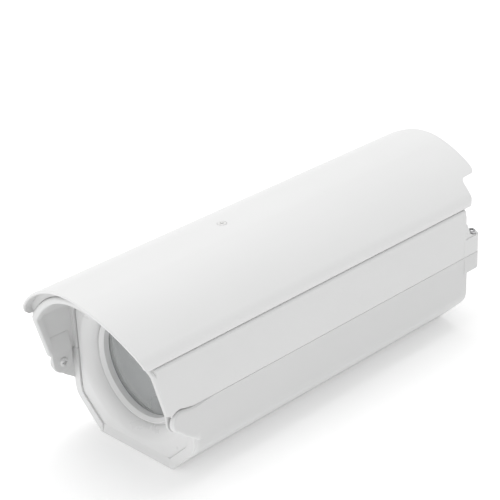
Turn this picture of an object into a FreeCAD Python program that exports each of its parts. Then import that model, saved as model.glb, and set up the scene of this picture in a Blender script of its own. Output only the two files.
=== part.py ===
import FreeCAD, Part
import math
import os

V = FreeCAD.Vector
os.makedirs("parts", exist_ok=True)

# ---------------------------------------------------------------- dimensions
# Millimetres. X lateral, Y from the window (low) to the rear (high), Z up.
# Y below is counted from the front frame's face. The last step moves the
# whole housing so that the origin is the centre of the bracket hole pattern
# on the underside.
ORIGIN_Y = 150.0          # bracket pattern centre behind the front face

BODY_L = 303.0            # lower body, front face to rear face
HALF_BOTTOM = 38.2        # half width of the flat underside
CHAMFER_X, CHAMFER_Z = 64.2, 24.8   # upper end of the lower corner chamfer
HALF_W = 65.0             # half width at the lid seam
SEAM_Z = 63.3             # top of the lower body
LID_Z = 63.6              # underside of the cover's rim
WALL = 3.0
COVER_T = 3.2
COVER_REAR = 302.0
RIM_T = 5.0               # thickened edge of the visor
FLANGE_T = 3.7            # cover's front flange

SHIELD_T = 2.5            # sunshield sheet
SHIELD_LIP_Z = 105.2
LEDGE_Z = 105.1           # cover's ledge under the lip
SHIELD_FRONT = 37.8       # overhang of the lip ahead of the front face
SHIELD_LEAN = 0.335       # forward lean of the sunshield's front edge
SHIELD_CROWN_REAR = 327.6
SHIELD_SIDE_REAR = 307.0
VISOR_LEAN = 0.28

WIN_Z = 65.6              # window axis height
GLASS_R = 43.3
GLASS_T = 3.0
GLASS_Y = 15.6            # front face of the glass
RING_IN_R = 39.8
RING_OUT_R = 42.8
WIN_BORE_R = 43.75        # behind the lip that the glass bears on
LIP_BORE_R = 42.9

PIV_Y, PIV_Z = -12.0, 57.0   # cover hinge axis
KNUCKLE_R = 8.2           # nose of the body's hinge arm
TONGUE_R = 8.9            # cover's hinge tongue, inside the arm
KNUCKLE_GAP = 1.3
HINGE_R = 2.95

LUG_X, LUG_Y, LUG_R = 59.7, 313.4, 5.4
LUG_TOP, LUG_BOT = 78.4, 48.2
SCREW_R = 2.05            # captive screw, drawn at the thread's core
INSERT_BORE_R = 2.6

BOLT_DX, BOLT_DY = 36.0, 60.0
BOLT_R = 2.6
GLAND_X, GLAND_Z = 22.0, 30.0
GLAND_HOLE_R = 8.2
CABLE_R = 4.2
TRAY_Z = 15.3
TRAY_T = 2.0


# ------------------------------------------------------------------- helpers
def fillet_path(pts, rad, closed=True):
    """Straight runs joined by tangent arcs, as ('L', p, q) / ('A', p, m, q)."""
    n = len(pts)
    segs, prev_end, first = [], None, None
    rng = range(n) if closed else range(1, n - 1)
    corners = {}
    for i in rng:
        p0, p1, p2 = pts[(i - 1) % n], pts[i], pts[(i + 1) % n]
        r = rad[i] if i < len(rad) else 0
        a = (p0[0] - p1[0], p0[1] - p1[1])
        b = (p2[0] - p1[0], p2[1] - p1[1])
        la, lb = math.hypot(*a), math.hypot(*b)
        a = (a[0] / la, a[1] / la)
        b = (b[0] / lb, b[1] / lb)
        dot = max(-1.0, min(1.0, a[0] * b[0] + a[1] * b[1]))
        ang = math.acos(dot)
        if r <= 0 or abs(ang - math.pi) < 1e-3:
            corners[i] = (p1, None, p1)
            continue
        t = r / math.tan(ang / 2)
        s = (p1[0] + a[0] * t, p1[1] + a[1] * t)
        e = (p1[0] + b[0] * t, p1[1] + b[1] * t)
        bis = (a[0] + b[0], a[1] + b[1])
        lbis = math.hypot(*bis)
        d = r / math.sin(ang / 2)
        m = (p1[0] + bis[0] / lbis * (d - r), p1[1] + bis[1] / lbis * (d - r))
        corners[i] = (s, m, e)
    if not closed:
        corners[0] = (pts[0], None, pts[0])
        corners[n - 1] = (pts[-1], None, pts[-1])
    for i in range(n):
        s, m, e = corners[i]
        if prev_end is not None and math.hypot(s[0] - prev_end[0], s[1] - prev_end[1]) > 1e-6:
            segs.append(("L", prev_end, s))
        if m is not None:
            segs.append(("A", s, m, e))
        prev_end = e
    if closed:
        s = corners[0][0]
        if math.hypot(s[0] - prev_end[0], s[1] - prev_end[1]) > 1e-6:
            segs.append(("L", prev_end, s))
    return segs


def to_edges(segs, f):
    out = []
    for s in segs:
        if s[0] == "L":
            out.append(Part.LineSegment(f(*s[1]), f(*s[2])).toShape())
        else:
            out.append(Part.Arc(f(*s[1]), f(*s[2]), f(*s[3])).toShape())
    return out


def face_of(edges):
    return Part.Face(Part.Wire(Part.__sortEdges__(edges)))


def prism_y(pts, rad, y0, y1):
    f = lambda u, v: V(u, y0, v)
    return face_of(to_edges(fillet_path(pts, rad), f)).extrude(V(0, y1 - y0, 0))


def prism_x(pts, rad, x0, x1):
    f = lambda u, v: V(x0, u, v)
    return face_of(to_edges(fillet_path(pts, rad), f)).extrude(V(x1 - x0, 0, 0))


def prism_z(pts, rad, z0, z1):
    f = lambda u, v: V(u, v, z0)
    return face_of(to_edges(fillet_path(pts, rad), f)).extrude(V(0, 0, z1 - z0))


def box(x0, x1, y0, y1, z0, z1):
    return Part.makeBox(x1 - x0, y1 - y0, z1 - z0, V(x0, y0, z0))


def cyl(r, p, d, h):
    return Part.makeCylinder(r, h, V(*p), V(*d))


def ring(r0, r1, p, d, h):
    return cyl(r1, p, d, h).cut(cyl(r0, (p[0] - d[0], p[1] - d[1], p[2] - d[2]), d, h + 2))


def hexagon(af, p, d, h):
    """Hexagonal prism, af across the flats, along +Y or +Z."""
    r = af / math.sqrt(3)
    pts = []
    for k in range(6):
        a = math.radians(60 * k + 30)
        if d[1]:
            pts.append(V(p[0] + r * math.cos(a), p[1], p[2] + r * math.sin(a)))
        else:
            pts.append(V(p[0] + r * math.cos(a), p[1] + r * math.sin(a), p[2]))
    pts.append(pts[0])
    return Part.Face(Part.makePolygon(pts)).extrude(V(d[0] * h, d[1] * h, d[2] * h))


def revolve_y(prof, x, z):
    """Profile of (r, y) points turned about the line along Y through (x, z)."""
    pts = [V(x + r, y, z) for r, y in prof]
    pts.append(pts[0])
    return Part.Face(Part.makePolygon(pts)).revolve(V(x, 0, z), V(0, 1, 0), 360)


def revolve_z(prof, x, y):
    pts = [V(x + r, y, z) for r, z in prof]
    pts.append(pts[0])
    return Part.Face(Part.makePolygon(pts)).revolve(V(x, y, 0), V(0, 0, 1), 360)


def arch_arcs(arch):
    """Tangent arcs from the upright end at +x to the arc over the crest.
    arch is (half width, crest height, radius 1, turn 1, radius 2, turn 2)."""
    x, crest, r1, a1, r2, a2 = arch
    z, t, raw = 0.0, math.pi / 2, []
    for r, a in ((r1, a1), (r2, a2)):
        cx, cz, t1 = x - r * math.sin(t), z + r * math.cos(t), t + math.radians(a)
        raw.append((cx, cz, r, t, t1))
        x, z, t = cx + r * math.sin(t1), cz - r * math.cos(t1), t1
    r3 = x / math.sin(t)
    raw.append((0.0, z + r3 * math.cos(t), r3, t, math.pi))
    dz = crest - (raw[-1][1] + r3)
    out = []
    for cx, cz, r, t0, t1 in raw:
        out.append([(cx + r * math.sin(q), cz + dz - r * math.cos(q)) for q in (t0, 0.5 * (t0 + t1), t1)])
    return out


def arch_z0(arch):
    return arch_arcs(arch)[0][0][1]


def inset(arch, d):
    """The parallel arch, moved inwards by d."""
    x, crest, r1, a1, r2, a2 = arch
    return (x - d, crest - d, r1 - d, a1, r2 - d, a2)


def arch_edges(arch, y):
    arcs = arch_arcs(arch)
    out = []
    for p, m, q in arcs[:2]:
        out.append(Part.Arc(V(p[0], y, p[1]), V(m[0], y, m[1]), V(q[0], y, q[1])).toShape())
        out.append(Part.Arc(V(-p[0], y, p[1]), V(-m[0], y, m[1]), V(-q[0], y, q[1])).toShape())
    p, c = arcs[2][0], arcs[2][2]
    out.append(Part.Arc(V(p[0], y, p[1]), V(0, y, c[1]), V(-p[0], y, p[1])).toShape())
    return out


def outline(arch, lower, rad, y0, y1):
    """Arch on top, straight or rounded lower part, extruded from y0 to y1.
    lower runs from the arch's left end round to its right end."""
    e = arch_edges(arch, y0)
    e += to_edges(fillet_path(lower, rad, closed=False), lambda u, v: V(u, y0, v))
    return face_of(e).extrude(V(0, y1 - y0, 0))


def straight(arch, z):
    """Plain lower part for an arch, down to height z."""
    x, zt = arch[0], arch_z0(arch)
    return [(-x, zt), (-x, z), (x, z), (x, zt)]


def common_all(a, b):
    return a.common(b)


def fuse_all(base, others):
    s = base.fuse(others) if others else base
    return s.removeSplitter()


def mirror(s):
    return s.mirror(V(0, 0, 0), V(1, 0, 0))


def pair(s):
    return [s, mirror(s)]


def on_plane(e, n, d, tol=0.01):
    """True if an edge lies in the plane n . p = d."""
    pts = [v.Point for v in e.Vertexes]
    pts.append(e.valueAt(0.5 * (e.FirstParameter + e.LastParameter)))
    return all(abs(p.dot(n) - d) < tol for p in pts)


def try_fillet(shape, r, pick, name):
    es = [e for e in shape.Edges if pick(e)]
    if not es:
        print("no edges for", name)
        return shape
    for rr in (r, 0.8 * r, 0.6 * r):
        try:
            out = shape.makeFillet(rr, es)
            if out.isValid() and abs(out.Volume - shape.Volume) < 0.2 * shape.Volume:
                if rr != r:
                    print("fillet reduced:", name, rr)
                return out
        except Exception as exc:
            msg = exc
    print("fillet skipped:", name, len(es), msg)
    return shape


def try_chamfer(shape, c, pick, name):
    es = [e for e in shape.Edges if pick(e)]
    if not es:
        print("no edges for", name)
        return shape
    try:
        out = shape.makeChamfer(c, es)
        if out.isValid():
            return out
    except Exception as exc:
        print("chamfer skipped:", name, exc)
    return shape


NODES = []


def save(name, shapes):
    if not isinstance(shapes, (list, tuple)):
        shapes = [shapes]
    solids = []
    for s in shapes:
        solids += s.Solids
    for s in solids:
        if not s.isValid():
            print("INVALID", name)
    moved = []
    for s in solids:
        c = s.copy()
        c.translate(V(0, -ORIGIN_Y, 0))
        moved.append(c)
    res = moved[0] if len(moved) == 1 else Part.makeCompound(moved)
    res.exportStep("parts/%s.step" % name)
    vol = sum(m.Volume for m in moved)
    bb = res.BoundBox
    NODES.append((name, len(moved), vol))
    print("%-20s solids %d vol %9.1f  x %.1f..%.1f y %.1f..%.1f z %.1f..%.1f" % (
        name, len(moved), vol, bb.XMin, bb.XMax, bb.YMin, bb.YMax, bb.ZMin, bb.ZMax))


# ------------------------------------------------------------- arch sections
# half width, crest height, then two tangent arcs (radius, turn in degrees);
# the last arc runs over the crest
COVER_ARCH = (65.0, 137.7, 8.6, 40.1, 124.0, 17.4)
PLATE_ARCH = (57.0, 129.7, 12.6, 38.6, 85.0, 28.0)
PLATE_Y = 1.3             # front plate behind the frame face
PLATE_SIDE_GAP, PLATE_SILL_GAP = 0.45, 0.04
SHIELD_ARCH = (64.3, 146.8, 13.3, 42.0, 100.0, 31.0)


def plate_outline(grow, y0, y1, z_cut=None):
    """Front plate outline grown outwards by grow: arch, sides, chamfers, sill."""
    half = inset(PLATE_ARCH, -grow)
    k = grow
    xs = 57.0 + k
    zb = 8.0 - k
    # chamfer line through (35.9, 8) and (57, 27.7), moved outwards by grow
    dx, dz = 57.0 - 35.9, 27.7 - 8.0
    ln = math.hypot(dx, dz)
    nx, nz = dz / ln, -dx / ln
    px, pz = 35.9 + nx * k, 8.0 + nz * k
    slope = dz / dx
    xb = px + (zb - pz) / slope
    zs = pz + (xs - px) * slope
    zt = arch_z0(half)
    lower = [(-xs, zt), (-xs, zs), (-xb, zb), (xb, zb), (xs, zs), (xs, zt)]
    rad = [0, 9.0 + k, 4.0 + k, 4.0 + k, 9.0 + k, 0]
    s = outline(half, lower, rad, y0, y1)
    if z_cut is not None:
        s = s.common(box(-90, 90, y0 - 1, y1 + 1, z_cut, 200))
    return s


# ---------------------------------------------------------------- lower body
outer_pts = [(-HALF_BOTTOM, 0), (HALF_BOTTOM, 0), (CHAMFER_X, CHAMFER_Z), (HALF_W, SEAM_Z),
             (-HALF_W, SEAM_Z), (-CHAMFER_X, CHAMFER_Z)]
body_outer = prism_y(outer_pts, [4.5, 4.5, 16, 0, 0, 16], 0.0, BODY_L)
body_outer = try_fillet(body_outer, 1.2, lambda e: e.BoundBox.YMax < 0.01 and e.BoundBox.ZMin < SEAM_Z - 1.0
                        and not (e.BoundBox.ZMin > SEAM_Z - 0.2), "body front edge")
body_outer = try_fillet(body_outer, 1.6, lambda e: e.BoundBox.YMin > BODY_L - 0.01 and e.BoundBox.ZMin < SEAM_Z - 1.0, "body rear edge")
inner_pts = [(-37.1, WALL), (37.1, WALL), (61.2, 26.3), (62.0, 75), (-62.0, 75), (-61.2, 26.3)]
body = body_outer.cut(prism_y(inner_pts, [0.4, 0.4, 13, 0, 0, 13], 4.0, BODY_L - WALL))
body = body.cut(plate_outline(PLATE_SILL_GAP, -1.0, 5.0))
body = body.cut(plate_outline(PLATE_SIDE_GAP, -1.0, 5.0, z_cut=32.0))
# the sill under the plate leans forward, so that plate and sill meet flush
body = body.cut(prism_x([(-2.0, -1.0), (0.1, -1.0), (0.1, 1.0), (PLATE_Y, 7.6), (PLATE_Y, 9.0), (-2.0, 9.0)], [0] * 6, -36.0, 36.0))

adds = []
# inner ledge of the rim
for s in (1, -1):
    x0, x1 = (58.5, 62.5) if s > 0 else (-62.5, -58.5)
    adds.append(prism_y([(x0, 59.8), (x1, 59.8), (x1, SEAM_Z), (x0, SEAM_Z)], [0, 0, 0, 0], 9.0, BODY_L - 1.5))
adds.append(box(-60, 60, BODY_L - 6.5, BODY_L - 1.5, 59.8, SEAM_Z))
# floor bosses for the bracket inserts
for bx in (-BOLT_DX / 2, BOLT_DX / 2):
    for by in (-BOLT_DY / 2, BOLT_DY / 2):
        adds.append(cyl(6.0, (bx, ORIGIN_Y + by, 1.0), (0, 0, 1), 9.2))
# hinge arms, blended into the side
def knuckle():
    """Arm ahead of the front face with a rounded nose, clear of the cover's tongue."""
    x0, x1 = 63.2, 66.3
    nose = cyl(KNUCKLE_R, (x0, PIV_Y, PIV_Z), (1, 0, 0), x1 - x0)
    a_low = math.radians(243.0)
    p_low = (PIV_Y + KNUCKLE_R * math.cos(a_low), PIV_Z + KNUCKLE_R * math.sin(a_low))
    a_top = math.radians(76.0)
    p_top = (PIV_Y + KNUCKLE_R * math.cos(a_top), PIV_Z + KNUCKLE_R * math.sin(a_top))
    web = prism_x([(PIV_Y, PIV_Z), p_low, (-9.0, 43.8), (-2.5, 39.2), (3.5, 34.5), (30.0, 30.5), (30.0, SEAM_Z), (1.0, SEAM_Z), p_top],
                  [0, 0, 9.0, 9.0, 0, 0, 0, 12.0, 0], x0, x1)
    k = nose.fuse(web).removeSplitter()
    k = try_fillet(k, 2.6, lambda e: e.BoundBox.XMin > x1 - 0.01 and e.BoundBox.YMin < -1.0, "knuckle edge")
    # taper of the blended pad towards the rear
    cut = prism_z([(66.25, 2.0), (72.0, 2.0), (72.0, 31.0), (64.2, 31.0)], [0] * 4, 20, 80)
    return k.cut(cut)


kn = knuckle()
adds += pair(kn)


# rear lug halves: a block and a screw boss beyond the rear face
def lug(z0, z1):
    b = box(LUG_X - LUG_R, LUG_X + LUG_R, BODY_L - 5.0, LUG_Y, z0, z1)
    return b.fuse(cyl(LUG_R, (LUG_X, LUG_Y, z0), (0, 0, 1), z1 - z0)).removeSplitter()


low_lug = lug(LUG_BOT, SEAM_Z)
low_lug = try_fillet(low_lug, 1.6, lambda e: e.BoundBox.ZMax < LUG_BOT + 0.01 and e.BoundBox.YMax > BODY_L + 1, "lower lug edge")
adds += pair(low_lug)
body = fuse_all(body, adds)
body = body.cut(prism_y(inner_pts, [0.4, 0.4, 13, 0, 0, 13], 4.0, 9.0))   # keep the frame's pocket clear
# groove for the lid gasket
groove = [box(60.2, 62.8, 10.0, BODY_L - 2.6, 61.7, 70.0), box(-62.8, -60.2, 10.0, BODY_L - 2.6, 61.7, 70.0),
          box(-62.8, 62.8, BODY_L - 5.2, BODY_L - 2.6, 61.7, 70.0)]
cuts = list(groove)
for s in (1, -1):
    cuts.append(cyl(3.9, (s * LUG_X, LUG_Y, 55.3), (0, 0, 1), 12.0))           # insert pocket
    cuts.append(cyl(INSERT_BORE_R, (s * LUG_X, LUG_Y, 53.0), (0, 0, 1), 4.0))
    cuts.append(cyl(3.0, (s * 62.5, PIV_Y, PIV_Z), (s, 0, 0), 2.6))            # blind hole of the pivot screw
    cuts.append(cyl(GLAND_HOLE_R, (s * GLAND_X, BODY_L - 8, GLAND_Z), (0, 1, 0), 12.0))
for bx in (-BOLT_DX / 2, BOLT_DX / 2):
    for by in (-BOLT_DY / 2, BOLT_DY / 2):
        cuts.append(cyl(3.9, (bx, ORIGIN_Y + by, -1.0), (0, 0, 1), 12.0))
LOCK_X = 26.0
RAIL_SCREWS = [(34.4, 80.0), (34.4, 240.0), (-34.4, 80.0), (-34.4, 240.0)]
for x, y in RAIL_SCREWS:
    cuts.append(cyl(1.55, (x, y, 0.9), (0, 0, 1), 3.0))
BEZEL_SCREWS = [(30.0, 13.0), (18.0, 13.0), (-30.0, 13.0), (-18.0, 13.0)]
for x, y in BEZEL_SCREWS:
    cuts.append(cyl(1.55, (x, y, 0.9), (0, 0, 1), 3.0))
HEATER_SCREWS = [(22.5, 28.0), (22.5, 37.0)]
for x, y in HEATER_SCREWS:
    cuts.append(cyl(1.55, (x, y, 0.9), (0, 0, 1), 3.0))
STANDOFFS = [(-32.0, 275.5), (-32.0, 294.0), (14.0, 275.5), (14.0, 294.0)]
for x, y in STANDOFFS:
    cuts.append(cyl(1.55, (x, y, 0.9), (0, 0, 1), 3.0))
EARTH = (27.0, 285.0)
cuts.append(cyl(2.05, (EARTH[0], EARTH[1], 0.9), (0, 0, 1), 3.0))
body = body.cut(cuts)
save("lower_body", body)

# ----------------------------------------------------------------- front end
bezel = plate_outline(0.0, PLATE_Y, 5.6)
bezel = try_fillet(bezel, 0.5, lambda e: e.BoundBox.YMax < PLATE_Y + 0.01, "bezel face edge")
bezel = bezel.fuse([plate_outline(3.0, 5.5, 8.5), cyl(53.0, (0, 5.6, WIN_Z), (0, 1, 0), GLASS_Y - 1.2),
                    box(-33.0, 33.0, PLATE_Y, PLATE_Y + 1.5, 8.0, 9.0)])
feet = [box(13.5, 34.5, 5.6, 17.5, 3.3, 7.5), box(-34.5, -13.5, 5.6, 17.5, 3.3, 7.5)]
bezel = bezel.fuse(feet).removeSplitter()
# dished funnel: a cone that steepens towards the window, then a plain step
fun_pts = [(56.5, PLATE_Y - 0.01), (54.6, PLATE_Y + 0.12), (52.4, PLATE_Y + 0.9), (49.6, PLATE_Y + 2.6), (47.4, PLATE_Y + 4.5), (45.9, PLATE_Y + 6.5), (45.0, PLATE_Y + 8.3), (44.7, PLATE_Y + 9.4)]
fc = Part.BSplineCurve()
fc.interpolate(Points=[V(r, y, WIN_Z) for r, y in fun_pts])
fy = fun_pts[-1][1]
fe = [fc.toShape(),
      Part.LineSegment(V(44.7, fy, WIN_Z), V(0, fy, WIN_Z)).toShape(),
      Part.LineSegment(V(0, fy, WIN_Z), V(0, 0, WIN_Z)).toShape(),
      Part.LineSegment(V(0, 0, WIN_Z), V(56.5, 0, WIN_Z)).toShape(),
      Part.LineSegment(V(56.5, 0, WIN_Z), V(56.5, PLATE_Y - 0.01, WIN_Z)).toShape()]
funnel = face_of(fe).revolve(V(0, 0, WIN_Z), V(0, 1, 0), 360)
bezel = bezel.cut(funnel)
bezel = bezel.cut([cyl(WIN_BORE_R, (0, GLASS_Y - 0.1, WIN_Z), (0, 1, 0), 20), cyl(LIP_BORE_R, (0, 0, WIN_Z), (0, 1, 0), 20)])
for x, y in BEZEL_SCREWS:
    bezel = bezel.cut(cyl(1.7, (x, y, 1), (0, 0, 1), 9))
CLAMP_SCREWS = [(48.4 * math.cos(math.radians(a)), 48.4 * math.sin(math.radians(a))) for a in (45, 135, 225, 315)]
for x, z in CLAMP_SCREWS:
    bezel = bezel.cut(cyl(1.3, (x, GLASS_Y - 2.1, WIN_Z + z), (0, 1, 0), 8))
save("front_bezel", bezel)


def pan_screw(x, y, z, d, shank_r, shank_l, head_r, head_h, recess=0.9):
    """Pan-head screw; (x, y, z) is under the head, the shank runs along -d."""
    dx, dy, dz = d
    sh = cyl(shank_r, (x - dx * shank_l, y - dy * shank_l, z - dz * shank_l), d, shank_l + 0.2)
    hd = cyl(head_r, (x, y, z), d, head_h)
    hd = try_fillet(hd, min(head_h * 0.55, head_r * 0.4), lambda e: e.CenterOfMass.sub(
        V(x + dx * head_h, y + dy * head_h, z + dz * head_h)).Length < 0.01, "head")
    s = sh.fuse(hd).removeSplitter()
    w, l = head_r * 0.28, head_r * 1.15
    rec = []
    c = (x + dx * (head_h - recess), y + dy * (head_h - recess), z + dz * (head_h - recess))
    if abs(dz) > 0.5:
        z0, z1 = sorted((c[2], c[2] + dz * (recess + 1)))
        rec = [box(x - l / 2, x + l / 2, y - w / 2, y + w / 2, z0, z1), box(x - w / 2, x + w / 2, y - l / 2, y + l / 2, z0, z1)]
    elif abs(dy) > 0.5:
        y0, y1 = sorted((c[1], c[1] + dy * (recess + 1)))
        rec = [box(x - l / 2, x + l / 2, y0, y1, z - w / 2, z + w / 2), box(x - w / 2, x + w / 2, y0, y1, z - l / 2, z + l / 2)]
    else:
        x0, x1 = sorted((c[0], c[0] + dx * (recess + 1)))
        rec = [box(x0, x1, y - l / 2, y + l / 2, z - w / 2, z + w / 2), box(x0, x1, y - w / 2, y + w / 2, z - l / 2, z + l / 2)]
    return s.cut(rec[0].fuse(rec[1]))


save("bezel_screws", [pan_screw(x, y, 7.55, (0, 0, 1), 1.5, 6.4, 2.9, 2.2) for x, y in BEZEL_SCREWS])
save("window_ring", revolve_y([(RING_OUT_R, 8.35), (RING_OUT_R, GLASS_Y), (RING_IN_R, GLASS_Y), (RING_IN_R, 10.75), (RING_IN_R + 0.5, 10.2), (RING_OUT_R - 0.7, 8.1)], 0, WIN_Z))
save("window_glass", cyl(GLASS_R, (0, GLASS_Y, WIN_Z), (0, 1, 0), GLASS_T))
save("window_gasket", ring(41.4, GLASS_R, (0, GLASS_Y + GLASS_T, WIN_Z), (0, 1, 0), 1.4))
CLAMP_Y = GLASS_Y + GLASS_T + 1.4
clamp = ring(40.3, 51.5, (0, CLAMP_Y, WIN_Z), (0, 1, 0), 2.5)
for x, z in CLAMP_SCREWS:
    clamp = clamp.cut(cyl(1.7, (x, CLAMP_Y - 1.0, WIN_Z + z), (0, 1, 0), 5))
clamp = clamp.cut(box(-60, 60, CLAMP_Y - 2.0, CLAMP_Y + 5.0, 0, 15.4))
save("window_clamp", clamp)
save("clamp_screws", [pan_screw(x, CLAMP_Y + 2.5, WIN_Z + z, (0, 1, 0), 1.25, 7.0, 2.6, 1.9) for x, z in CLAMP_SCREWS])
seal = plate_outline(2.9, 4.05, 5.45).cut(plate_outline(0.9, 3.0, 6.5))
save("front_seal", seal)

# --------------------------------------------------------------------- seals
gz0, gz1 = 61.7, 63.45
gasket = Part.makeBox(2.4, BODY_L - 2.8 - 10.2, gz1 - gz0, V(60.3, 10.2, gz0))
gasket = gasket.fuse([Part.makeBox(2.4, BODY_L - 2.8 - 10.2, gz1 - gz0, V(-62.7, 10.2, gz0)),
                      Part.makeBox(125.4, 2.2, gz1 - gz0, V(-62.7, BODY_L - 5.0, gz0))]).removeSplitter()
save("lid_gasket", gasket)

# ------------------------------------------------------------- hinge hardware
hs = []
hw = []
for s in (1, -1):
    hs.append(pan_screw(s * 59.3, PIV_Y, PIV_Z, (-s, 0, 0), HINGE_R, 5.7, 3.5, 1.9, 0.9))
    hw.append(ring(3.1, 5.6, (s * 61.8, PIV_Y, PIV_Z), (s, 0, 0), 1.3))
save("hinge_screws", hs)
save("hinge_washers", hw)
save("rear_inserts", [ring(INSERT_BORE_R, 3.85, (s * LUG_X, LUG_Y, 55.35), (0, 0, 1), 7.6) for s in (1, -1)])
ins = []
for bx in (-BOLT_DX / 2, BOLT_DX / 2):
    for by in (-BOLT_DY / 2, BOLT_DY / 2):
        ins.append(ring(BOLT_R, 3.85, (bx, ORIGIN_Y + by, 0.0), (0, 0, 1), 9.6))
save("mount_inserts", ins)

# --------------------------------------------------------------- cable glands
gb, gw, gl, gs, gn = [], [], [], [], []
for s in (1, -1):
    gx = s * GLAND_X
    b = cyl(8.0, (gx, 293.6, GLAND_Z), (0, 1, 0), 11.0).fuse([hexagon(22.0, (gx, 304.3, GLAND_Z), (0, 1, 0), 5.0),
                                                          cyl(7.7, (gx, 309.0, GLAND_Z), (0, 1, 0), 8.0)])
    b = b.cut([cyl(5.5, (gx, 290, GLAND_Z), (0, 1, 0), 40), cyl(6.6, (gx, 311.5, GLAND_Z), (0, 1, 0), 12)]).removeSplitter()
    gb.append(b)
    gw.append(ring(8.15, 11.4, (gx, 303.02, GLAND_Z), (0, 1, 0), 1.26))
    gl.append(hexagon(22.0, (gx, 294.9, GLAND_Z), (0, 1, 0), 5.0).cut(cyl(8.1, (gx, 290, GLAND_Z), (0, 1, 0), 20)))
    gs.append(revolve_y([(CABLE_R, 311.6), (6.5, 311.6), (6.5, 318.6), (5.3, 321.4), (CABLE_R, 321.4)], gx, GLAND_Z))
    n = hexagon(20.5, (gx, 309.5, GLAND_Z), (0, 1, 0), 8.5)
    n = n.fuse(revolve_y([(0.0, 317.5), (9.8, 317.5), (9.8, 318.6), (9.0, 321.6), (7.4, 324.2), (5.6, 325.4), (0.0, 325.4)], gx, GLAND_Z)).removeSplitter()
    n = n.cut([cyl(7.8, (gx, 309.0, GLAND_Z), (0, 1, 0), 9.5), revolve_y([(0, 318.0), (6.7, 318.0), (6.7, 319.0), (5.5, 321.9), (5.0, 323.0), (5.0, 327.0), (0, 327.0)], gx, GLAND_Z)])
    gn.append(n)
save("gland_bodies", gb)
save("gland_washers", gw)
save("gland_locknuts", gl)
save("gland_seals", gs)
save("gland_nuts", gn)

# ------------------------------------------------------------ rails and tray
rails = []
for s in (1, -1):
    pts = [(36.5, 3.05), (36.5, 5.05), (32.0, 5.05), (32.0, 15.0), (23.0, 15.0), (23.0, 13.0), (30.0, 13.0), (30.0, 3.05)]
    pts = [(s * x, z) for x, z in pts]
    r = prism_y(pts, [0, 0, 0.2, 1.4, 0, 0, 0.4, 0], 55.0, 262.0)
    for x, y in RAIL_SCREWS:
        if x * s > 0:
            r = r.cut(cyl(1.7, (x, y, 2), (0, 0, 1), 5))
    for y in (105.0, 195.0):
        r = r.cut(cyl(2.2, (s * LOCK_X, y, 10), (0, 0, 1), 8))
    rails.append(r)
save("tray_rails", rails)
save("rail_screws", [pan_screw(x, y, 5.1, (0, 0, 1), 1.5, 4.0, 2.1, 2.0, 0.8) for x, y in RAIL_SCREWS])

T0, T1 = 60.0, 245.0


def slot(x, y0, y1, r):
    return prism_z([(x - r, y0 - r), (x + r, y0 - r), (x + r, y1 + r), (x - r, y1 + r)], [r * 0.999] * 4, 10, 30)


tray = prism_y([(-39.0, TRAY_Z), (39.0, TRAY_Z), (39.0, TRAY_Z + 7.5), (39.0 - TRAY_T, TRAY_Z + 7.5), (39.0 - TRAY_T, TRAY_Z + TRAY_T),
                (-39.0 + TRAY_T, TRAY_Z + TRAY_T), (-39.0 + TRAY_T, TRAY_Z + 7.5), (-39.0, TRAY_Z + 7.5)],
               [1.8, 1.8, 0, 0, 0.4, 0.4, 0, 0], T0, T1)
tray = tray.cut([slot(0, 95.0, 205.0, 3.4)])
for s in (1, -1):
    for y in (105.0, 195.0):
        tray = tray.cut(slot(s * LOCK_X, y - 27.0, y + 17.0, 2.5))
save("camera_tray", tray)
lock_s, lock_w, lock_n = [], [], []
for s in (1, -1):
    for y in (105.0, 195.0):
        lock_s.append(pan_screw(s * LOCK_X, y, TRAY_Z + TRAY_T + 1.4, (0, 0, 1), 1.95, 8.6, 4.6, 3.6, 1.4))
        lock_w.append(ring(2.1, 5.0, (s * LOCK_X, y, TRAY_Z + TRAY_T + 0.33), (0, 0, 1), 1.0))
        lock_n.append(hexagon(7.0, (s * LOCK_X, y, 10.2), (0, 0, 1), 2.75).cut(cyl(2.05, (s * LOCK_X, y, 9), (0, 0, 1), 6)))
save("tray_lock_screws", lock_s)
save("tray_lock_washers", lock_w)
save("tray_lock_nuts", lock_n)

# camera screw: knurled head under the tray, thread up through the slot
CAM_Y = 150.0
head = cyl(8.0, (0, CAM_Y, 10.4), (0, 0, 1), 4.5)
head = try_chamfer(head, 0.6, lambda e: abs(e.BoundBox.ZMax - e.BoundBox.ZMin) < 0.01, "knob edge")
kn_cuts = []
for k in range(24):
    a = math.radians(15 * k)
    kn_cuts.append(cyl(0.55, (8.15 * math.cos(a), CAM_Y + 8.15 * math.sin(a), 10.0), (0, 0, 1), 6))
head = head.cut(kn_cuts)
head = head.cut(box(-6, 6, CAM_Y - 0.8, CAM_Y + 0.8, 10.0, 11.6))
save("camera_screw", head.fuse([cyl(2.5, (0, CAM_Y, 14.5), (0, 0, 1), 3.5), cyl(3.175, (0, CAM_Y, 17.6), (0, 0, 1), 6.2)]).removeSplitter())

# ------------------------------------------------------------- window heater
hb = box(-36.2, 26.0, 23.5, 41.5, 3.1, 4.6)
hb = try_fillet(hb, 1.5, lambda e: abs(e.BoundBox.ZMax - e.BoundBox.ZMin) > 1, "heater plate")
for x, y in HEATER_SCREWS:
    hb = hb.cut(cyl(1.7, (x, y, 2), (0, 0, 1), 5))
save("heater_bracket", hb)
hx = box(-19.0, 19.0, 24.5, 40.5, 4.65, 20.0)
for k in range(6):
    x = -19.0 + 3.4 + k * 5.6
    hx = hx.cut(box(x, x + 3.2, 20, 45, 9.0, 25.0))
save("heater_block", hx)
save("heater_screws", [pan_screw(x, y, 4.65, (0, 0, 1), 1.5, 3.5, 2.5, 1.9) for x, y in HEATER_SCREWS])
save("thermostat", cyl(6.3, (-28.0, 32.5, 4.65), (0, 0, 1), 1.2).fuse(cyl(5.4, (-28.0, 32.5, 5.5), (0, 0, 1), 5.0)).removeSplitter())

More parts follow.
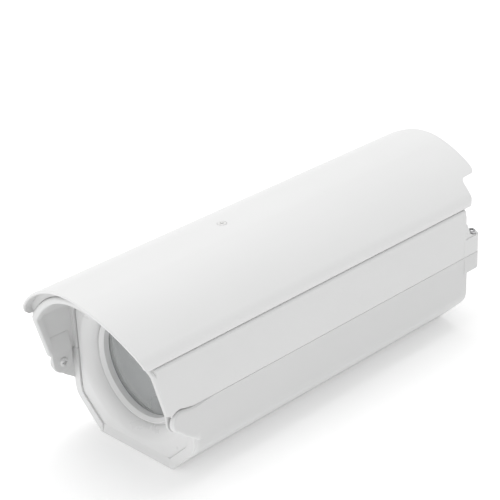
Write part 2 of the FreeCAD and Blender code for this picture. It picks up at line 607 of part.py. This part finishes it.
# --------------------------------------------------------------- power board
so = []
for x, y in STANDOFFS:
    so.append(hexagon(5.5, (x, y, 3.05), (0, 0, 1), 7.9).cut(cyl(1.55, (x, y, 2), (0, 0, 1), 12)))
save("board_standoffs", so)
pcb = box(-36.0, 18.0, 272.0, 297.0, 11.0, 12.6)
for x, y in STANDOFFS:
    pcb = pcb.cut(cyl(1.7, (x, y, 10), (0, 0, 1), 5))
save("power_board", pcb)
save("board_screws", [pan_screw(x, y, 12.65, (0, 0, 1), 1.5, 11.0, 2.6, 1.9) for x, y in STANDOFFS])
tb = prism_x([(278.0, 12.65), (291.0, 12.65), (291.0, 17.5), (288.0, 22.0), (281.0, 22.0), (278.0, 19.0)], [0] * 6, -22.0, 4.0)
for k in range(5):
    x = -22.0 + 2.6 + 5.2 * k
    tb = tb.cut([cyl(1.7, (x, 284.5, 16.0), (0, 0, 1), 8), box(x - 1.6, x + 1.6, 276.0, 281.5, 13.6, 16.8)])
save("terminal_block", tb)
save("earth_washer", ring(2.2, 4.5, (EARTH[0], EARTH[1], 3.05), (0, 0, 1), 1.0))
save("earth_screw", pan_screw(EARTH[0], EARTH[1], 4.1, (0, 0, 1), 2.0, 3.0, 3.6, 2.6, 1.1))

# ----------------------------------------------------------------- top cover
Y_VISOR = -62.0


def visor_y(z):
    return -32.2 + VISOR_LEAN * (99.3 - z)


c_in = inset(COVER_ARCH, COVER_T)
c_rim = inset(COVER_ARCH, RIM_T)
c_mid = inset(COVER_ARCH, COVER_T - 0.4)
cov = outline(COVER_ARCH, straight(COVER_ARCH, LID_Z), [0] * 4, Y_VISOR, COVER_REAR)
cov = try_fillet(cov, 3.0, lambda e: e.BoundBox.YMin > COVER_REAR - 0.01 and e.BoundBox.ZMax > 70, "cover rear edge")
# wall that comes down in front of the knuckles
front_low = [box(s0, s1, -27.0, -9.0, 55.0, LID_Z + 3) for s0, s1 in ((61.8, 65.0), (-65.0, -61.8))]
# rounded ledge along the shoulder, just under the sunshield's lip
ledge = prism_y([(58.0, 96.0), (65.0, 96.0), (65.0, LEDGE_Z), (61.0, LEDGE_Z)], [0, 0, 2.4, 0], Y_VISOR, COVER_REAR - 3.0)
cov = cov.fuse(front_low + pair(ledge)).removeSplitter()
cov = cov.cut(outline(c_in, straight(c_in, 50.0), [0] * 4, Y_VISOR - 5, COVER_REAR - COVER_T))
extra = []
# thickened rim along the visor's edge, rounded inside and out
vn = V(0, 1, VISOR_LEAN).normalize()
vd = vn.dot(V(0, -32.2, 99.3))
rim = outline(COVER_ARCH, straight(COVER_ARCH, 65.0), [0] * 4, Y_VISOR, 5.0)
rim = rim.cut(outline(c_rim, straight(c_rim, 50.0), [0] * 4, Y_VISOR - 5, 10.0))
slab = prism_x([(visor_y(170), 170), (visor_y(60), 60), (visor_y(60) + 5.2, 60), (visor_y(170) + 5.2, 170)], [0] * 4, -80, 80)
rim = rim.common(slab)
rim = try_fillet(rim, 1.5, lambda e: on_plane(e, vn, vd) and abs(e.BoundBox.ZMax - e.BoundBox.ZMin) + abs(e.BoundBox.YMax - e.BoundBox.YMin) > 0.01, "visor rim")
cov = cov.cut(prism_x([(visor_y(190) + 2.6, 190), (visor_y(40) + 2.6, 40), (-150.0, 40), (-150.0, 190.0)], [0] * 4, -90, 90))
extra.append(rim)
# front flange that closes on the seal
fl = outline(c_mid, straight(c_mid, LID_Z), [0] * 4, 0.0, FLANGE_T).cut(plate_outline(0.8, -1.0, 6.0))
extra.append(fl)
# inner ledge over the gasket
for s in (1, -1):
    x0, x1 = (60.35, 62.2) if s > 0 else (-62.2, -60.35)
    extra.append(box(x0, x1, 9.2, COVER_REAR - 1.5, LID_Z, LID_Z + 2.6))
extra.append(box(-60.0, 60.0, COVER_REAR - 6.0, COVER_REAR - 1.5, LID_Z, LID_Z + 2.6))


def tongue():
    """Hinge tongue inside the arm; its inner face runs out into the visor's wall."""
    x0, x1 = 59.4, 61.7
    c = cyl(TONGUE_R, (x0, PIV_Y, PIV_Z), (1, 0, 0), x1 - x0)
    n = prism_x([(PIV_Y - TONGUE_R, PIV_Z), (PIV_Y + TONGUE_R, PIV_Z), (PIV_Y + TONGUE_R, 79.0), (PIV_Y - TONGUE_R - 2.0, 79.0)],
                [0, 0, 0, 0], x0, x1)
    t = c.fuse(n).removeSplitter()
    t = t.common(prism_y([(x1 + 0.05, 40.0), (x0, 40.0), (x0, 66.0), (x1 + 0.05, 80.0)], [0, 0, 14.0, 0], -60.0, 10.0))
    t = try_fillet(t, 0.9, lambda e: e.BoundBox.XMax < x0 + 0.01 and e.BoundBox.ZMin < 60.0, "tongue edge")
    foot = box(x1 - 0.15, 62.4, PIV_Y - TONGUE_R + 1, PIV_Y + TONGUE_R - 1, 67.2, 78.0)
    return t.fuse(foot)


extra += pair(tongue())
up_lug = lug(LID_Z, LUG_TOP)
web = prism_x([(298.0, 74.0), (LUG_Y + 4.4, 74.0), (LUG_Y + 4.4, LUG_TOP), (LUG_Y - 2.5, LUG_TOP + 0.6), (LUG_Y - 7.5, LUG_TOP + 3.4), (302.2, 91.0), (298.0, 91.0)],
              [0, 0, 1.0, 2.0, 3.0, 0, 0], LUG_X - LUG_R, LUG_X + 4.6)
web = web.common(lug(60.0, 95.0))
lug_ring = cyl(4.1, (LUG_X, LUG_Y, LUG_TOP - 0.01), (0, 0, 1), 20)
up_lug = up_lug.fuse(web.cut(lug_ring)).removeSplitter()
extra += pair(up_lug)
# boss for the sunshield's screw
extra.append(cyl(6.0, (0, 97.0, 128.5), (0, 0, 1), 8.6))
cov = fuse_all(cov, extra)
# rounded lower corner of the visor, down to the nose of the hinge
cov = cov.cut(prism_x([(visor_y(72.0), 72.0), (visor_y(62.0), 62.0), (-21.6, 60.0), (-21.6, 30.0), (-60.0, 30.0), (-60.0, 72.0)],
                      [0, 3.0, 0.6, 0, 0, 0], -90, 90).cut(box(-61.75, 61.75, -90, 10, 20, 66.0)))
cc = []
for s in (1, -1):
    x0 = 61.72 if s > 0 else -70.0
    cc.append(cyl(KNUCKLE_R + KNUCKLE_GAP, (x0, PIV_Y, PIV_Z), (1, 0, 0), 70.0 - 61.72))
    # seam line behind the knuckle
    cc.append(prism_x([(PIV_Y, 45.0), (14.0, 45.0), (14.0, LID_Z), (1.5, LID_Z + 0.02), (PIV_Y + 2.6, PIV_Z + KNUCKLE_R + 0.75), (PIV_Y, PIV_Z + KNUCKLE_R)],
                      [0, 0, 0, 12.0, 0, 0], x0, x0 + 70.0 - 61.72))
    cc.append(cyl(3.0, (s * 55.0, PIV_Y, PIV_Z), (s, 0, 0), 7.0))
    cc.append(cyl(2.12, (s * LUG_X, LUG_Y, 58.0), (0, 0, 1), 30.0))
cc.append(cyl(3.3, (0, 97.0, 128.0), (0, 0, 1), 12.0))
cov = cov.cut(cc)
sol = sorted(cov.Solids, key=lambda s: -s.Volume)
if len(sol) > 1:
    print("cover pieces", [round(s.Volume, 2) for s in sol])
cov = sol[0]
save("top_cover", cov)

# ----------------------------------------------------------------- sunshield
s_in = inset(SHIELD_ARCH, SHIELD_T)


def shield_y(z):
    return -SHIELD_FRONT - SHIELD_LEAN * (z - SHIELD_LIP_Z)


shell_o = outline(SHIELD_ARCH, straight(SHIELD_ARCH, SHIELD_LIP_Z), [0] * 4, -60.0, 335.0)
shell_i = outline(s_in, straight(s_in, 90.0), [0] * 4, -65.0, 340.0)
shield = shell_o.cut(shell_i)
shield = shield.cut(prism_x([(shield_y(190), 190), (shield_y(100), 100), (-150, 100), (-150, 190)], [0] * 4, -90, 90))
# corner of the lip
shield = shield.cut(prism_x([(-80.0, 90.0), (-SHIELD_FRONT + 2.6, 90.0), (-SHIELD_FRONT + 2.6, SHIELD_LIP_Z), (-SHIELD_FRONT - 0.9, SHIELD_LIP_Z + 2.9), (-80.0, SHIELD_LIP_Z + 2.9)],
                            [0, 0, 1.5, 1.5, 0], -90, 90))
# rear: the crown runs further back than the sides
rear = prism_x([(SHIELD_SIDE_REAR - 3.0, 90.0), (SHIELD_SIDE_REAR - 1.0, SHIELD_LIP_Z), (SHIELD_SIDE_REAR + 1.2, 112.0), (SHIELD_SIDE_REAR + 2.0, 124.6),
                (SHIELD_CROWN_REAR - 0.3, 125.0), (SHIELD_CROWN_REAR, 134.0), (SHIELD_CROWN_REAR, 190.0), (400.0, 190.0), (400.0, 90.0)],
               [0, 0, 3.0, 4.0, 5.0, 2.0, 0, 0, 0], -90, 90)
shield = shield.cut(rear)
shield = shield.cut([cyl(2.3, (0, 97.0, 130.0), (0, 0, 1), 30.0), Part.makeCone(2.3, 3.9, 1.6, V(0, 97.0, 145.22), V(0, 0, 1))])
shield = sorted(shield.Solids, key=lambda s: -s.Volume)[0]
sn = V(0, 1, SHIELD_LEAN).normalize()
sd = sn.dot(V(0, shield_y(120.0), 120.0))
shield = try_fillet(shield, 0.9, lambda e: on_plane(e, sn, sd, 0.02) and e.Length > 3.0, "shield front edge")
shield = try_fillet(shield, 1.5, lambda e: e.BoundBox.ZMax < SHIELD_LIP_Z + 0.01 and e.Length > 100.0 and abs(e.CenterOfMass.x) > SHIELD_ARCH[0] - 0.1, "shield lip outer edge")
shield = try_fillet(shield, 0.5, lambda e: e.BoundBox.ZMax < SHIELD_LIP_Z + 0.01 and e.Length > 100.0 and abs(e.CenterOfMass.x) < SHIELD_ARCH[0] - SHIELD_T + 0.1, "shield lip inner edge")
# front web that closes the gap down to the cover
w_o = inset(SHIELD_ARCH, SHIELD_T - 0.3)
w_i = inset(COVER_ARCH, -0.35)
web = outline(w_o, straight(w_o, SHIELD_LIP_Z + 0.4), [0] * 4, -60.0, 20.0).cut(outline(w_i, straight(w_i, 60.0), [0] * 4, -62.0, 22.0))
web = web.common(prism_x([(visor_y(170) + 2.0, 170), (visor_y(90) + 2.0, 90), (visor_y(90) + 4.4, 90), (visor_y(170) + 4.4, 170)], [0] * 4, -80, 80))
shield = shield.fuse(web).removeSplitter()
shield = sorted(shield.Solids, key=lambda s: -s.Volume)[0]
save("sunshield", shield)

# spacers between cover and sunshield: a pad under each shoulder

def spacer(sx, y):
    so_ = inset(SHIELD_ARCH, SHIELD_T + 0.05)
    ci_ = inset(COVER_ARCH, -0.05)
    o = outline(so_, straight(so_, 95.0), [0] * 4, y - 9.0, y + 9.0)
    i = outline(ci_, straight(ci_, 80.0), [0] * 4, y - 10.0, y + 10.0)
    b = box(*sorted((sx * 26.0, sx * 38.0)), y - 10, y + 10, 90, 200)
    return o.cut(i).common(b)


sp = []
for y in (60.0, 250.0):
    for sx in (1, -1):
        sp += spacer(sx, y).Solids
save("shield_spacers", sp)
save("shield_insert", ring(2.1, 3.25, (0, 97.0, 128.6), (0, 0, 1), 9.0))
save("shield_sleeve", ring(2.4, 5.0, (0, 97.0, 137.75), (0, 0, 1), 6.15))
scr = cyl(1.9, (0, 97.0, 130.5), (0, 0, 1), 15.2).fuse(Part.makeCone(1.95, 3.45, 1.5, V(0, 97.0, 145.2), V(0, 0, 1))).removeSplitter()
scr = scr.cut([box(-2.0, 2.0, 96.65, 97.35, 145.75, 150.0), box(-0.35, 0.35, 95.0, 99.0, 145.75, 150.0)])
save("shield_screw", scr)

# ------------------------------------------------------ captive rear screws
for name, s in (("rear_screw_right", 1), ("rear_screw_left", -1)):
    x = s * LUG_X
    hd = cyl(3.5, (x, LUG_Y, LUG_TOP + 0.12), (0, 0, 1), 3.2)
    hd = try_fillet(hd, 1.6, lambda e: e.BoundBox.ZMin > LUG_TOP + 3.2 and e.BoundBox.ZMax < LUG_TOP + 3.4, "captive head")
    sc = hd.fuse(cyl(SCREW_R, (x, LUG_Y, 56.8), (0, 0, 1), LUG_TOP - 56.8 + 0.5)).removeSplitter()
    sc = sc.cut([box(x - 2.0, x + 2.0, LUG_Y - 0.5, LUG_Y + 0.5, LUG_TOP + 2.2, LUG_TOP + 5), box(x - 0.5, x + 0.5, LUG_Y - 2.0, LUG_Y + 2.0, LUG_TOP + 2.2, LUG_TOP + 5)])
    save(name, sc)

print("nodes", len(NODES), "volume cm3 %.1f" % (sum(n[2] for n in NODES) / 1000.0))
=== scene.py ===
import bpy
import bmesh
import math
from mathutils import Matrix, Vector

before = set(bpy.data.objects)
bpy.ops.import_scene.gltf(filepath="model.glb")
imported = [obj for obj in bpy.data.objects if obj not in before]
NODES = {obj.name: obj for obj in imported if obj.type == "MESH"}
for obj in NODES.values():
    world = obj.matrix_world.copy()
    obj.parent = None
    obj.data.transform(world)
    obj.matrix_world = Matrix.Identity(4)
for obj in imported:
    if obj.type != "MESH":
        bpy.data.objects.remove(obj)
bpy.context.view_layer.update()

MM = 0.001
FRONT_Y = -0.150     # the lower body's front face

# ------------------------------------------------------------------ camera
# Seen from the front right corner and above, as in the reference view.
AZ, EL, ROLL = math.radians(45.843), math.radians(25.872), math.radians(-2.534)
DIST = 1.294286
TARGET = Vector((-0.057581, 0.030, 0.076192))
back = Vector((math.sin(AZ) * math.cos(EL), -math.cos(AZ) * math.cos(EL), math.sin(EL)))
right = Vector((math.cos(AZ), math.sin(AZ), 0.0))
up = back.cross(right)
r2 = math.cos(ROLL) * right + math.sin(ROLL) * up
u2 = -math.sin(ROLL) * right + math.cos(ROLL) * up
cam_data = bpy.data.cameras.new("camera")
cam_data.sensor_width = 36.0
cam_data.lens = 1627.956 / 500.0 * 36.0
cam_data.clip_start, cam_data.clip_end = 0.05, 50.0
cam = bpy.data.objects.new("camera", cam_data)
bpy.context.scene.collection.objects.link(cam)
m = Matrix((r2, u2, back)).transposed().to_4x4()
m.translation = TARGET + back * DIST
cam.matrix_world = m
bpy.context.scene.camera = cam


# --------------------------------------------------------------- materials
def new_mat(name):
    mat = bpy.data.materials.new(name)
    mat.use_nodes = True
    nt = mat.node_tree
    for n in list(nt.nodes):
        nt.nodes.remove(n)
    out = nt.nodes.new("ShaderNodeOutputMaterial")
    bsdf = nt.nodes.new("ShaderNodeBsdfPrincipled")
    nt.links.new(bsdf.outputs["BSDF"], out.inputs["Surface"])
    return mat, nt, bsdf


def coords(nt):
    return nt.nodes.new("ShaderNodeTexCoord").outputs["Object"]


def noise(nt, vec, scale, detail=2.0, rough=0.5, stretch=None):
    if stretch is not None:
        mp = nt.nodes.new("ShaderNodeMapping")
        mp.inputs["Scale"].default_value = stretch
        nt.links.new(vec, mp.inputs["Vector"])
        vec = mp.outputs["Vector"]
    n = nt.nodes.new("ShaderNodeTexNoise")
    n.inputs["Scale"].default_value = scale
    n.inputs["Detail"].default_value = detail
    n.inputs["Roughness"].default_value = rough
    nt.links.new(vec, n.inputs["Vector"])
    return n.outputs["Fac"]


def ramp(nt, fac, a, b, lo, hi):
    """Value from lo to hi as fac goes from a to b."""
    r = nt.nodes.new("ShaderNodeMapRange")
    r.inputs["From Min"].default_value = a
    r.inputs["From Max"].default_value = b
    r.inputs["To Min"].default_value = lo
    r.inputs["To Max"].default_value = hi
    nt.links.new(fac, r.inputs["Value"])
    return r.outputs["Result"]


def mix_col(nt, fac, c0, c1):
    mx = nt.nodes.new("ShaderNodeMix")
    mx.data_type = "RGBA"
    mx.inputs["A"].default_value = (*c0, 1.0)
    mx.inputs["B"].default_value = (*c1, 1.0)
    nt.links.new(fac, mx.inputs["Factor"])
    return mx.outputs["Result"]


def bump(nt, height, strength, dist, normal=None):
    b = nt.nodes.new("ShaderNodeBump")
    b.inputs["Strength"].default_value = strength
    b.inputs["Distance"].default_value = dist
    nt.links.new(height, b.inputs["Height"])
    if normal is not None:
        nt.links.new(normal, b.inputs["Normal"])
    return b.outputs["Normal"]


def math2(nt, op, a, b):
    n = nt.nodes.new("ShaderNodeMath")
    n.operation = op
    for i, v in enumerate((a, b)):
        if isinstance(v, (int, float)):
            n.inputs[i].default_value = v
        else:
            nt.links.new(v, n.inputs[i])
    return n.outputs[0]


def painted_shade_mask(nt, v, lean):
    """Painted shade mask: 1 on faces that look forward, down or towards the middle plane, behind the leaning plane y
    + 0.28 z = lean, where the shade under the shield and visor is painted into the colour; 0 on the outside."""
    nrm = nt.nodes.new("ShaderNodeSeparateXYZ")
    nt.links.new(nt.nodes.new("ShaderNodeTexCoord").outputs["Normal"], nrm.inputs["Vector"])
    pos = nt.nodes.new("ShaderNodeSeparateXYZ")
    nt.links.new(v, pos.inputs["Vector"])
    across = math2(nt, "MULTIPLY", pos.outputs["X"], nrm.outputs["X"])
    inward = ramp(nt, across, -0.024, -0.014, 1.0, 0.0)
    down = ramp(nt, nrm.outputs["Z"], -0.45, -0.25, 1.0, 0.0)
    plane = math2(nt, "ADD", pos.outputs["Y"], math2(nt, "MULTIPLY", pos.outputs["Z"], 0.28))
    fwd = math2(nt, "MULTIPLY", ramp(nt, nrm.outputs["Y"], -0.6, -0.35, 1.0, 0.0), ramp(nt, plane, lean, lean + 0.001, 0.0, 1.0))
    return math2(nt, "MAXIMUM", math2(nt, "MAXIMUM", inward, down), fwd)


def white_plastic(name, tint=(0.82, 0.822, 0.82), rough=0.42, grain=0.35, front=None, painted_shade=None, lean=-1.0):
    """Injection-moulded white plastic: faint flow clouding, fine satin grain.
    The front tint is painted light: a lighter tint painted on the piece's front-facing faces and low front edge, as
    if more light falls there. The darker tint given for faces that look inward, down or forward under the shield or
    visor is painted shade."""
    mat, nt, b = new_mat(name)
    v = coords(nt)
    cloud = noise(nt, v, 14.0, 3.0, 0.55, stretch=(1.0, 0.35, 1.0))
    fine = noise(nt, v, 1500.0, 2.0, 0.6)
    peel = noise(nt, v, 230.0, 2.0, 0.5)
    lo = tuple(c * 0.975 for c in tint)
    col = mix_col(nt, ramp(nt, cloud, 0.3, 0.7, 0.0, 1.0), lo, tint)
    # Painted light: the front-facing faces and low front edge get a lighter tint than the sides, as if more light
    # falls on them.
    if front is not None:
        sep = nt.nodes.new("ShaderNodeSeparateXYZ")
        nt.links.new(v, sep.inputs["Vector"])
        mx = nt.nodes.new("ShaderNodeMix")
        mx.data_type = "RGBA"
        mx.inputs["A"].default_value = (*front, 1.0)
        nt.links.new(col, mx.inputs["B"])
        nrm = nt.nodes.new("ShaderNodeSeparateXYZ")
        nt.links.new(nt.nodes.new("ShaderNodeTexCoord").outputs["Normal"], nrm.inputs["Vector"])
        side = math2(nt, "MINIMUM", ramp(nt, nrm.outputs["Y"], -0.5, -0.3, 0.0, 1.0), ramp(nt, sep.outputs["Z"], 0.036, 0.042, 0.0, 1.0))
        deep = ramp(nt, sep.outputs["Y"], FRONT_Y + 0.0025, FRONT_Y + 0.006, 0.0, 1.0)
        nt.links.new(math2(nt, "MAXIMUM", deep, side), mx.inputs["Factor"])
        col = mx.outputs["Result"]
    # Painted shade: blend in the darker tint on faces under the shield or visor that look inward, down or forward.
    if painted_shade is not None:
        mx = nt.nodes.new("ShaderNodeMix")
        mx.data_type = "RGBA"
        nt.links.new(col, mx.inputs["A"])
        mx.inputs["B"].default_value = (*painted_shade, 1.0)
        nt.links.new(painted_shade_mask(nt, v, lean), mx.inputs["Factor"])
        col = mx.outputs["Result"]
    nt.links.new(col, b.inputs["Base Color"])
    nt.links.new(ramp(nt, noise(nt, v, 60.0, 3.0, 0.6), 0.3, 0.7, rough - 0.04, rough + 0.05), b.inputs["Roughness"])
    n1 = bump(nt, peel, 0.10, 0.0002)
    n2 = bump(nt, fine, grain, 0.00004, n1)
    nt.links.new(n2, b.inputs["Normal"])
    b.inputs["IOR"].default_value = 1.49
    b.inputs["Specular IOR Level"].default_value = 0.5
    return mat


def metal(name, col, rough, brushed=None, grain=900.0, metallic=1.0):
    mat, nt, b = new_mat(name)
    v = coords(nt)
    st = brushed or (1.0, 1.0, 1.0)
    n = noise(nt, v, grain, 3.0, 0.6, stretch=st)
    dark = tuple(c * 0.86 for c in col)
    nt.links.new(mix_col(nt, ramp(nt, noise(nt, v, 90.0, 3.0), 0.3, 0.7, 0, 1), dark, col), b.inputs["Base Color"])
    nt.links.new(ramp(nt, n, 0.3, 0.7, rough - 0.06, rough + 0.08), b.inputs["Roughness"])
    nt.links.new(bump(nt, n, 0.25, 0.00003), b.inputs["Normal"])
    b.inputs["Metallic"].default_value = metallic
    return mat


def rubber(name, col=(0.035, 0.035, 0.037)):
    mat, nt, b = new_mat(name)
    v = coords(nt)
    n = noise(nt, v, 1200.0, 3.0, 0.6)
    bloom = noise(nt, v, 45.0, 3.0, 0.6)
    nt.links.new(mix_col(nt, ramp(nt, bloom, 0.35, 0.75, 0, 1), col, tuple(c * 1.7 + 0.01 for c in col)), b.inputs["Base Color"])
    nt.links.new(ramp(nt, n, 0.3, 0.7, 0.62, 0.8), b.inputs["Roughness"])
    nt.links.new(bump(nt, n, 0.4, 0.00004), b.inputs["Normal"])
    return mat


def nylon(name, col, rough=0.5):
    mat, nt, b = new_mat(name)
    v = coords(nt)
    n = noise(nt, v, 800.0, 3.0, 0.6)
    nt.links.new(mix_col(nt, ramp(nt, noise(nt, v, 40.0, 2.0), 0.3, 0.7, 0, 1), tuple(c * 0.93 for c in col), col), b.inputs["Base Color"])
    nt.links.new(ramp(nt, n, 0.3, 0.7, rough - 0.07, rough + 0.07), b.inputs["Roughness"])
    nt.links.new(bump(nt, n, 0.3, 0.00004), b.inputs["Normal"])
    return mat


def board_green(name):
    mat, nt, b = new_mat(name)
    v = coords(nt)
    # copper runs under the lacquer: soft bands along and across the board
    w1 = nt.nodes.new("ShaderNodeTexWave")
    w1.bands_direction = "X"
    w1.inputs["Scale"].default_value = 60.0
    w1.inputs["Distortion"].default_value = 0.0
    nt.links.new(v, w1.inputs["Vector"])
    blocks = nt.nodes.new("ShaderNodeTexVoronoi")
    blocks.inputs["Scale"].default_value = 160.0
    blocks.distance = "CHEBYCHEV"
    nt.links.new(v, blocks.inputs["Vector"])
    mul = nt.nodes.new("ShaderNodeMath")
    mul.operation = "MULTIPLY"
    nt.links.new(ramp(nt, w1.outputs["Fac"], 0.45, 0.55, 0.0, 1.0), mul.inputs[0])
    nt.links.new(ramp(nt, blocks.outputs["Distance"], 0.2, 0.5, 0.3, 1.0), mul.inputs[1])
    nt.links.new(mix_col(nt, mul.outputs[0], (0.015, 0.12, 0.05), (0.04, 0.24, 0.09)), b.inputs["Base Color"])
    b.inputs["Roughness"].default_value = 0.3
    nt.links.new(bump(nt, mul.outputs[0], 0.3, 0.00005), b.inputs["Normal"])
    return mat


def clear_glass(name):
    """Clear pane: the far side shows through, with the sky's gloss on it."""
    mat, nt, b = new_mat(name)
    v = coords(nt)
    smear = noise(nt, v, 22.0, 3.0, 0.6)
    nt.links.new(mix_col(nt, ramp(nt, smear, 0.3, 0.7, 0, 1), (0.70, 0.72, 0.725), (0.76, 0.78, 0.785)), b.inputs["Base Color"])
    nt.links.new(ramp(nt, smear, 0.3, 0.7, 0.03, 0.07), b.inputs["Roughness"])
    b.inputs["IOR"].default_value = 1.52
    b.inputs["Alpha"].default_value = 0.33
    return mat


# One white plastic, tinted part by part as painted shade: the sunshield on top lightest, the top cover darker, the
# lower body darkest, as less light reaches the lower parts.
M = {
    # Sunshield: painted shade tint on its underside and on the web behind its front edge; top cover: painted shade
    # tint on its front-facing rim and visor inside.
    "white": white_plastic("white_plastic", tint=(0.83, 0.832, 0.83), painted_shade=(0.61, 0.612, 0.61), lean=-0.1555),
    "white_cover": white_plastic("white_plastic_cover", tint=(0.765, 0.767, 0.765), painted_shade=(0.71, 0.712, 0.71)),
    "white_body": white_plastic("white_plastic_body", tint=(0.705, 0.707, 0.705), front=(0.775, 0.777, 0.775)),
    "white_front": white_plastic("white_plastic_front", tint=(0.79, 0.792, 0.79), rough=0.30, grain=0.10),
    "white_in": white_plastic("white_plastic_ring", tint=(0.835, 0.837, 0.835), rough=0.36, grain=0.25),
    "steel": metal("stainless", (0.62, 0.62, 0.63), 0.28),
    "pivot": metal("pivot_steel", (0.80, 0.80, 0.80), 0.5, metallic=0.35),
    "zinc": metal("zinc_plated", (0.66, 0.67, 0.69), 0.38, brushed=(1, 6, 1)),
    "alu": metal("aluminium_sheet", (0.78, 0.79, 0.80), 0.36, brushed=(12, 1, 1)),
    "brass": metal("brass_turned", (0.78, 0.60, 0.29), 0.3),
    "rubber": rubber("black_rubber"),
    "silicone": nylon("grey_silicone", (0.60, 0.60, 0.585), 0.6),
    "white_coat": white_plastic("white_screw", tint=(0.80, 0.80, 0.79), rough=0.4, grain=0.15),
    "nylon": nylon("natural_nylon", (0.80, 0.80, 0.76)),
    "gland": nylon("gland_nylon", (0.72, 0.73, 0.73), 0.42),
    "board": board_green("board_lacquer"),
    "grey": nylon("terminal_grey", (0.16, 0.18, 0.19), 0.45),
    "glass": clear_glass("window_glass"),
}

LOOK = {
    "white": ["sunshield"],
    "white_cover": ["top_cover"],
    "white_body": ["lower_body"],
    "white_front": ["front_bezel"],
    "white_in": ["window_ring"],
    "pivot": ["hinge_screws"],
    "steel": ["bezel_screws", "clamp_screws", "rail_screws", "tray_lock_screws", "tray_lock_washers",
              "tray_lock_nuts", "heater_screws", "board_screws", "earth_washer", "rear_screw_left",
              "rear_screw_right", "camera_screw"],
    "silicone": ["front_seal", "lid_gasket", "window_gasket"],
    "white_coat": ["shield_screw", "window_clamp"],
    "zinc": ["tray_rails", "heater_bracket", "thermostat"],
    "alu": ["camera_tray", "heater_block"],
    "brass": ["rear_inserts", "mount_inserts", "shield_insert", "earth_screw"],
    "rubber": ["gland_seals", "gland_washers"],
    "nylon": ["hinge_washers", "shield_spacers", "shield_sleeve", "board_standoffs"],
    "gland": ["gland_bodies", "gland_locknuts", "gland_nuts"],
    "board": ["power_board"],
    "grey": ["terminal_block"],
    "glass": ["window_glass"],
}
for key, names in LOOK.items():
    for n in names:
        ob = NODES[n]
        ob.data.materials.clear()
        ob.data.materials.append(M[key])
        for p in ob.data.polygons:
            if p.material_index:
                p.material_index = 0

# ------------------------------------------------------------------- stage
fm, fnt, fb = new_mat("floor")
fv = coords(fnt)
fnt.links.new(mix_col(fnt, ramp(fnt, noise(fnt, fv, 3.0, 2.0), 0.3, 0.7, 0, 1), (0.965, 0.965, 0.965), (0.975, 0.975, 0.975)), fb.inputs["Base Color"])
fb.inputs["Roughness"].default_value = 0.9
fb.inputs["Emission Color"].default_value = (1.0, 1.0, 1.0, 1.0)
fb.inputs["Emission Strength"].default_value = 0.18
me = bpy.data.meshes.new("floor")
S = 14.0
me.from_pydata([(-S, -S, 0), (S, -S, 0), (S, S, 0), (-S, S, 0)], [], [(0, 1, 2, 3)])
me.materials.append(fm)
floor = bpy.data.objects.new("floor", me)
floor.location.z = -0.0002
bpy.context.scene.collection.objects.link(floor)

world = bpy.data.worlds.new("world")
bpy.context.scene.world = world
world.use_nodes = True
bg = world.node_tree.nodes["Background"]
bg.inputs["Color"].default_value = (1.0, 1.0, 1.0, 1.0)
bg.inputs["Strength"].default_value = 0.63


def area(name, loc, target, size, power, col=(1, 1, 1)):
    d = bpy.data.lights.new(name, "AREA")
    d.shape = "RECTANGLE"
    d.size, d.size_y = size
    d.energy = power
    d.color = col
    o = bpy.data.objects.new(name, d)
    o.location = loc
    o.rotation_mode = "QUATERNION"
    o.rotation_quaternion = (Vector(target) - Vector(loc)).to_track_quat("-Z", "Y")
    bpy.context.scene.collection.objects.link(o)
    return o


area("top_soft", (-0.5, 0.2, 2.6), (0, 0, 0.05), (2.6, 2.6), 37.5)
area("left_fill", (-1.9, -1.5, 0.9), (0, -0.1, 0.06), (1.6, 1.2), 3.5)
area("front_fill", (-0.36, -2.26, 0.50), (0, -0.1, 0.06), (0.55, 0.45), 3.6)

bpy.context.scene.view_settings.view_transform = "Standard"
bpy.context.scene.view_settings.look = "None"
bpy.context.scene.view_settings.exposure = 0.0
bpy.context.scene.view_settings.gamma = 1.0
